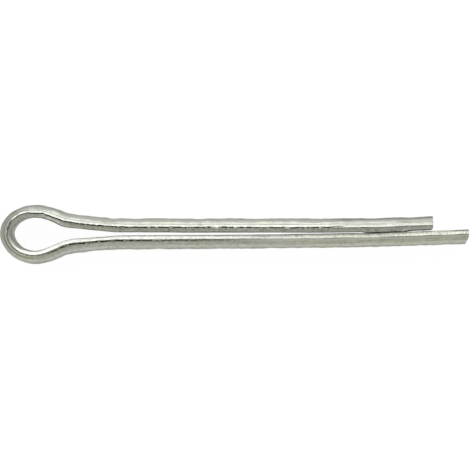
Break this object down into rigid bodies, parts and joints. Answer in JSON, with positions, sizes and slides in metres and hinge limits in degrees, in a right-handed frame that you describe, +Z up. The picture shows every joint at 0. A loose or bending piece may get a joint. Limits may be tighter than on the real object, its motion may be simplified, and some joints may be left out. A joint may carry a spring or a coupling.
{
  "type": "cotter pin",
  "caption": "Split cotter pin folded from half-round zinc-plated steel wire, with a teardrop eye and straight legs of unequal length.",
  "frame": {"origin": "centre of the pin's bounding box in X and Y, at the lowest line of the wire it lies on", "axes": "+X along the pin from the eye to the tips, +Y towards the short leg, +Z up out of the plane the pin lies in"},
  "size_m": [0.0562, 0.0072, 0.0034],
  "materials": {
    "zinc_plated_wire": "zinc plated and satin, with fine drawing streaks along the wire"
  },
  "bodies": {
    "root": {"cotter_pin": "zinc_plated_wire"}
  },
  "joints": []
}
